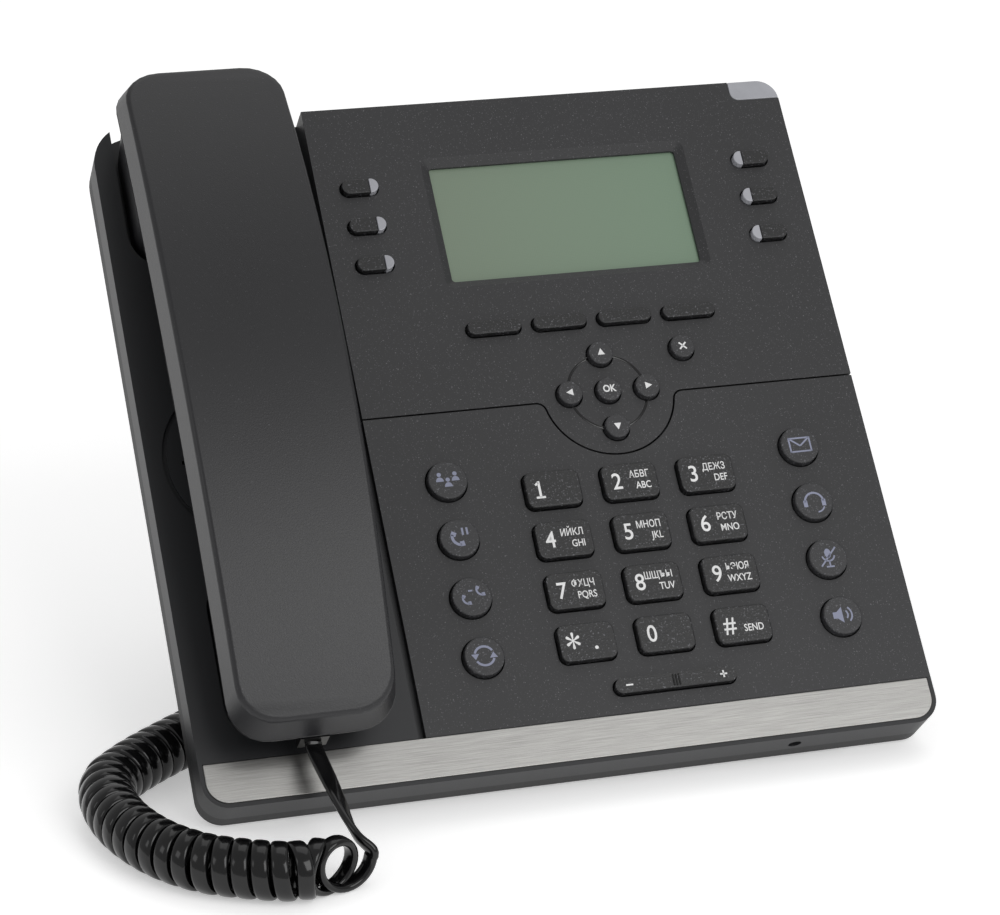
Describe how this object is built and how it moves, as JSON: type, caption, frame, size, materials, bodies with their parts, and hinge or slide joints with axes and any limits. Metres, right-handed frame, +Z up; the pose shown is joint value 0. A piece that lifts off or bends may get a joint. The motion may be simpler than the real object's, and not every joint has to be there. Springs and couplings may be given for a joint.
{
  "type": "desk ip telephone",
  "caption": "Desk telephone on a tilted base with a curly-corded handset, a display, dialling keys, round function keys and a folding rear stand.",
  "frame": {"origin": "middle of the phone's footprint, without its cord, on the desk", "axes": "+X to the user's right, +Y away from the user, +Z up from the desk"},
  "size_m": [0.231, 0.1907, 0.1701],
  "materials": {
    "cradle_plastic": "fine moulded texture",
    "panel_plastic": "fine spark texture with light specks",
    "rear_plastic": "fine moulded texture",
    "strip_metal": "brushed along its length, satin",
    "foot_rubber": "matt",
    "screw_steel": "zinc plated",
    "display": "olive-grey reflective display",
    "light_plastic": "translucent",
    "mat_rubber": "matt silicone",
    "board": "solder mask",
    "speaker_metal": "satin",
    "socket_plastic": "moulded",
    "cord": "glossy extruded jacket",
    "plug_plastic": "clear dark plastic",
    "handset_plastic": "fine moulded texture",
    "key_plastic": "coarse moulded texture",
    "round_key_plastic": "coarse moulded texture"
  },
  "bodies": {
    "base": {"front_case": "cradle_plastic", "display_panel": "panel_plastic", "keypad_panel": "panel_plastic", "trim_strip": "strip_metal", "rear_case": "rear_plastic", "front_feet": "foot_rubber", "case_screws": "screw_steel", "lcd_module": "display", "light_guides": "light_plastic", "keypad_mat": "mat_rubber", "keypad_board": "board", "main_board": "board", "loudspeaker": "speaker_metal", "sockets": "socket_plastic", "cord_coil": "cord", "cord_ends": "cord", "cord_plug_base": "plug_plastic"},
    "handset": {"handset_outer_shell": "handset_plastic", "handset_inner_shell": "handset_plastic", "handset_capsules": "speaker_metal", "cord_plug_handset": "plug_plastic"},
    "stand": {"stand": "rear_plastic"},
    "hook": {"hook_plunger": "key_plastic"},
    "key_1": {"key_1": "key_plastic"},
    "key_2": {"key_2": "key_plastic"},
    "key_3": {"key_3": "key_plastic"},
    "key_4": {"key_4": "key_plastic"},
    "key_5": {"key_5": "key_plastic"},
    "key_6": {"key_6": "key_plastic"},
    "key_7": {"key_7": "key_plastic"},
    "key_8": {"key_8": "key_plastic"},
    "key_9": {"key_9": "key_plastic"},
    "key_star": {"key_star": "key_plastic"},
    "key_0": {"key_0": "key_plastic"},
    "key_hash": {"key_hash": "key_plastic"},
    "key_conference": {"key_conference": "round_key_plastic"},
    "key_hold": {"key_hold": "round_key_plastic"},
    "key_transfer": {"key_transfer": "round_key_plastic"},
    "key_redial": {"key_redial": "round_key_plastic"},
    "key_message": {"key_message": "round_key_plastic"},
    "key_headset": {"key_headset": "round_key_plastic"},
    "key_mute": {"key_mute": "round_key_plastic"},
    "key_speaker": {"key_speaker": "round_key_plastic"},
    "key_up": {"key_up": "key_plastic"},
    "key_down": {"key_down": "key_plastic"},
    "key_left": {"key_left": "key_plastic"},
    "key_right": {"key_right": "key_plastic"},
    "key_ok": {"key_ok": "key_plastic"},
    "key_cancel": {"key_cancel": "key_plastic"},
    "soft_key_1": {"soft_key_1": "key_plastic"},
    "soft_key_2": {"soft_key_2": "key_plastic"},
    "soft_key_3": {"soft_key_3": "key_plastic"},
    "soft_key_4": {"soft_key_4": "key_plastic"},
    "line_key_1": {"line_key_1": "key_plastic"},
    "line_key_2": {"line_key_2": "key_plastic"},
    "line_key_3": {"line_key_3": "key_plastic"},
    "line_key_4": {"line_key_4": "key_plastic"},
    "line_key_5": {"line_key_5": "key_plastic"},
    "line_key_6": {"line_key_6": "key_plastic"},
    "volume_rocker": {"volume_rocker": "key_plastic"}
  },
  "joints": [
    {"name": "handset_lift", "type": "slide", "parent": "base", "child": "handset", "axis": [0, -0.7071, 0.7071], "range_m": [0, 0.06], "deforming": ["cord_ends"]},
    {"name": "hook_travel", "type": "slide", "parent": "base", "child": "hook", "axis": [0, -0.7071, 0.7071], "range_m": [0, 0.002]},
    {"name": "stand_fold", "type": "hinge", "parent": "base", "child": "stand", "pos_m": [0, 0.05307, 0.08373], "axis": [1, 0, 0], "range_deg": [-56, 0]},
    {"name": "key_1_press", "type": "slide", "parent": "base", "child": "key_1", "axis": [0, 0.7071, -0.7071], "range_m": [0, 0.0012], "stiffness_N_per_m": 600},
    {"name": "key_2_press", "type": "slide", "parent": "base", "child": "key_2", "axis": [0, 0.7071, -0.7071], "range_m": [0, 0.0012], "stiffness_N_per_m": 600},
    {"name": "key_3_press", "type": "slide", "parent": "base", "child": "key_3", "axis": [0, 0.7071, -0.7071], "range_m": [0, 0.0012], "stiffness_N_per_m": 600},
    {"name": "key_4_press", "type": "slide", "parent": "base", "child": "key_4", "axis": [0, 0.7071, -0.7071], "range_m": [0, 0.0012], "stiffness_N_per_m": 600},
    {"name": "key_5_press", "type": "slide", "parent": "base", "child": "key_5", "axis": [0, 0.7071, -0.7071], "range_m": [0, 0.0012], "stiffness_N_per_m": 600},
    {"name": "key_6_press", "type": "slide", "parent": "base", "child": "key_6", "axis": [0, 0.7071, -0.7071], "range_m": [0, 0.0012], "stiffness_N_per_m": 600},
    {"name": "key_7_press", "type": "slide", "parent": "base", "child": "key_7", "axis": [0, 0.7071, -0.7071], "range_m": [0, 0.0012], "stiffness_N_per_m": 600},
    {"name": "key_8_press", "type": "slide", "parent": "base", "child": "key_8", "axis": [0, 0.7071, -0.7071], "range_m": [0, 0.0012], "stiffness_N_per_m": 600},
    {"name": "key_9_press", "type": "slide", "parent": "base", "child": "key_9", "axis": [0, 0.7071, -0.7071], "range_m": [0, 0.0012], "stiffness_N_per_m": 600},
    {"name": "key_star_press", "type": "slide", "parent": "base", "child": "key_star", "axis": [0, 0.7071, -0.7071], "range_m": [0, 0.0012], "stiffness_N_per_m": 600},
    {"name": "key_0_press", "type": "slide", "parent": "base", "child": "key_0", "axis": [0, 0.7071, -0.7071], "range_m": [0, 0.0012], "stiffness_N_per_m": 600},
    {"name": "key_hash_press", "type": "slide", "parent": "base", "child": "key_hash", "axis": [0, 0.7071, -0.7071], "range_m": [0, 0.0012], "stiffness_N_per_m": 600},
    {"name": "key_conference_press", "type": "slide", "parent": "base", "child": "key_conference", "axis": [0, 0.7071, -0.7071], "range_m": [0, 0.0012], "stiffness_N_per_m": 600},
    {"name": "key_hold_press", "type": "slide", "parent": "base", "child": "key_hold", "axis": [0, 0.7071, -0.7071], "range_m": [0, 0.0012], "stiffness_N_per_m": 600},
    {"name": "key_transfer_press", "type": "slide", "parent": "base", "child": "key_transfer", "axis": [0, 0.7071, -0.7071], "range_m": [0, 0.0012], "stiffness_N_per_m": 600},
    {"name": "key_redial_press", "type": "slide", "parent": "base", "child": "key_redial", "axis": [0, 0.7071, -0.7071], "range_m": [0, 0.0012], "stiffness_N_per_m": 600},
    {"name": "key_message_press", "type": "slide", "parent": "base", "child": "key_message", "axis": [0, 0.7071, -0.7071], "range_m": [0, 0.0012], "stiffness_N_per_m": 600},
    {"name": "key_headset_press", "type": "slide", "parent": "base", "child": "key_headset", "axis": [0, 0.7071, -0.7071], "range_m": [0, 0.0012], "stiffness_N_per_m": 600},
    {"name": "key_mute_press", "type": "slide", "parent": "base", "child": "key_mute", "axis": [0, 0.7071, -0.7071], "range_m": [0, 0.0012], "stiffness_N_per_m": 600},
    {"name": "key_speaker_press", "type": "slide", "parent": "base", "child": "key_speaker", "axis": [0, 0.7071, -0.7071], "range_m": [0, 0.0012], "stiffness_N_per_m": 600},
    {"name": "key_up_press", "type": "slide", "parent": "base", "child": "key_up", "axis": [0, 0.7071, -0.7071], "range_m": [0, 0.0012], "stiffness_N_per_m": 600},
    {"name": "key_down_press", "type": "slide", "parent": "base", "child": "key_down", "axis": [0, 0.7071, -0.7071], "range_m": [0, 0.0012], "stiffness_N_per_m": 600},
    {"name": "key_left_press", "type": "slide", "parent": "base", "child": "key_left", "axis": [0, 0.7071, -0.7071], "range_m": [0, 0.0012], "stiffness_N_per_m": 600},
    {"name": "key_right_press", "type": "slide", "parent": "base", "child": "key_right", "axis": [0, 0.7071, -0.7071], "range_m": [0, 0.0012], "stiffness_N_per_m": 600},
    {"name": "key_ok_press", "type": "slide", "parent": "base", "child": "key_ok", "axis": [0, 0.7071, -0.7071], "range_m": [0, 0.0012], "stiffness_N_per_m": 600},
    {"name": "key_cancel_press", "type": "slide", "parent": "base", "child": "key_cancel", "axis": [0, 0.7071, -0.7071], "range_m": [0, 0.0012], "stiffness_N_per_m": 600},
    {"name": "soft_key_1_press", "type": "slide", "parent": "base", "child": "soft_key_1", "axis": [0, 0.7071, -0.7071], "range_m": [0, 0.0012], "stiffness_N_per_m": 600},
    {"name": "soft_key_2_press", "type": "slide", "parent": "base", "child": "soft_key_2", "axis": [0, 0.7071, -0.7071], "range_m": [0, 0.0012], "stiffness_N_per_m": 600},
    {"name": "soft_key_3_press", "type": "slide", "parent": "base", "child": "soft_key_3", "axis": [0, 0.7071, -0.7071], "range_m": [0, 0.0012], "stiffness_N_per_m": 600},
    {"name": "soft_key_4_press", "type": "slide", "parent": "base", "child": "soft_key_4", "axis": [0, 0.7071, -0.7071], "range_m": [0, 0.0012], "stiffness_N_per_m": 600},
    {"name": "line_key_1_press", "type": "slide", "parent": "base", "child": "line_key_1", "axis": [0, 0.7071, -0.7071], "range_m": [0, 0.0012], "stiffness_N_per_m": 600},
    {"name": "line_key_2_press", "type": "slide", "parent": "base", "child": "line_key_2", "axis": [0, 0.7071, -0.7071], "range_m": [0, 0.0012], "stiffness_N_per_m": 600},
    {"name": "line_key_3_press", "type": "slide", "parent": "base", "child": "line_key_3", "axis": [0, 0.7071, -0.7071], "range_m": [0, 0.0012], "stiffness_N_per_m": 600},
    {"name": "line_key_4_press", "type": "slide", "parent": "base", "child": "line_key_4", "axis": [0, 0.7071, -0.7071], "range_m": [0, 0.0012], "stiffness_N_per_m": 600},
    {"name": "line_key_5_press", "type": "slide", "parent": "base", "child": "line_key_5", "axis": [0, 0.7071, -0.7071], "range_m": [0, 0.0012], "stiffness_N_per_m": 600},
    {"name": "line_key_6_press", "type": "slide", "parent": "base", "child": "line_key_6", "axis": [0, 0.7071, -0.7071], "range_m": [0, 0.0012], "stiffness_N_per_m": 600},
    {"name": "volume_rock", "type": "hinge", "parent": "base", "child": "volume_rocker", "pos_m": [0.0293, -0.05533, 0.02172], "axis": [0, 0.7071, 0.7071], "range_deg": [-2.5, 2.5], "stiffness_Nm_per_rad": 0.6}
  ],
  "couplings": [
    {"joint": "hook_travel", "follows": "handset_lift", "ratio": 0.033333}
  ]
}
